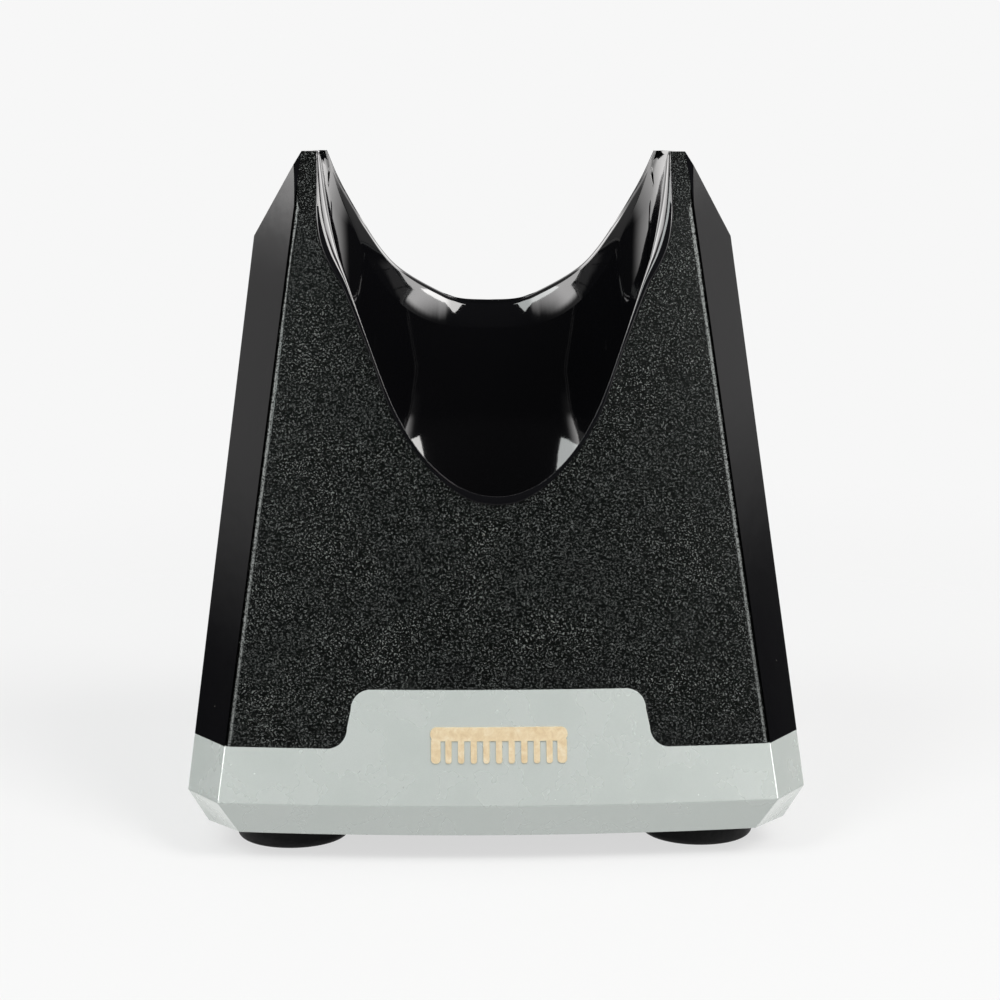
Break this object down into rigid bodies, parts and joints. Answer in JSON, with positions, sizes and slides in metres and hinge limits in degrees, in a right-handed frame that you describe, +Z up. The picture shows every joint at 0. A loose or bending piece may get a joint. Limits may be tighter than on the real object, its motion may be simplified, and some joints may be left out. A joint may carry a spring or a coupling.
{
  "type": "hair clipper charging stand",
  "caption": "Weighted desktop charging stand for a cordless hair clipper: tapered eight-sided housing with a saddle-shaped cradle between two horns.",
  "frame": {"origin": "on the ground, under the middle of the stand's bounding box", "axes": "+Z up, X across the width, the front with the trim tab faces -Y, the power inlet faces +Y"},
  "size_m": [0.0864, 0.0836, 0.097],
  "materials": {
    "gloss_black": "high-gloss moulded black plastic",
    "grain_black": "black plastic with a fine leather-like moulded grain",
    "cradle_black": "high-gloss moulded black plastic",
    "satin_silver": "satin metallised trim",
    "gold_inlay": "pale gold foil inlay, lightly brushed",
    "plate_black": "black plastic with a fine matt texture",
    "ballast_steel": "zinc-plated steel",
    "foot_rubber": "matt black rubber",
    "screw_steel": "zinc-plated steel screws",
    "board_green": "green solder-masked laminate",
    "jack_black": "moulded black plastic",
    "contact_nickel": "nickel-plated contact metal",
    "bezel_black": "gloss black plastic",
    "capacitor_sleeve": "dark printed sleeve",
    "diode_epoxy": "black epoxy body with tinned leads",
    "connector_white": "natural nylon",
    "wire_red": "red insulation",
    "wire_black": "black insulation",
    "guide_black": "moulded black plastic",
    "terminal_brass": "stamped brass",
    "carrier_black": "low-friction black plastic",
    "insulator_black": "moulded black plastic",
    "spring_steel": "bright spring wire"
  },
  "bodies": {
    "stand": {"front_panel": "grain_black", "rear_panel": "grain_black", "housing_shell": "gloss_black", "cradle": "cradle_black", "base_trim": "satin_silver", "trim_emblem": "gold_inlay", "base_plate": "plate_black", "ballast_weight": "ballast_steel", "ballast_screws": "screw_steel", "foot_front_left": "foot_rubber", "foot_front_right": "foot_rubber", "foot_rear_left": "foot_rubber", "foot_rear_right": "foot_rubber", "base_screws": "screw_steel", "cradle_screws": "screw_steel", "circuit_board": "board_green", "board_screws": "screw_steel", "power_jack_body": "jack_black", "power_jack_pin": "contact_nickel", "jack_bezel": "bezel_black", "capacitor": "capacitor_sleeve", "protection_diode": "diode_epoxy", "wire_connector": "connector_white", "wire_positive": "wire_red", "wire_negative": "wire_black", "plug_guide": "guide_black", "plug_guide_screws": "screw_steel", "spring_terminal": "terminal_brass", "centre_terminal": "terminal_brass"},
    "charging_plug": {"plug_carrier": "carrier_black", "plug_barrel": "contact_nickel", "plug_insulator": "insulator_black", "plug_centre_contact": "contact_nickel", "plug_spring": "spring_steel"}
  },
  "joints": [
    {"name": "plug_float", "type": "slide", "parent": "stand", "child": "charging_plug", "axis": [0, 0, -1], "range_m": [0, 0.003], "stiffness_N_per_m": 400, "springref_m": -0.002, "deforming": ["plug_spring"]}
  ]
}
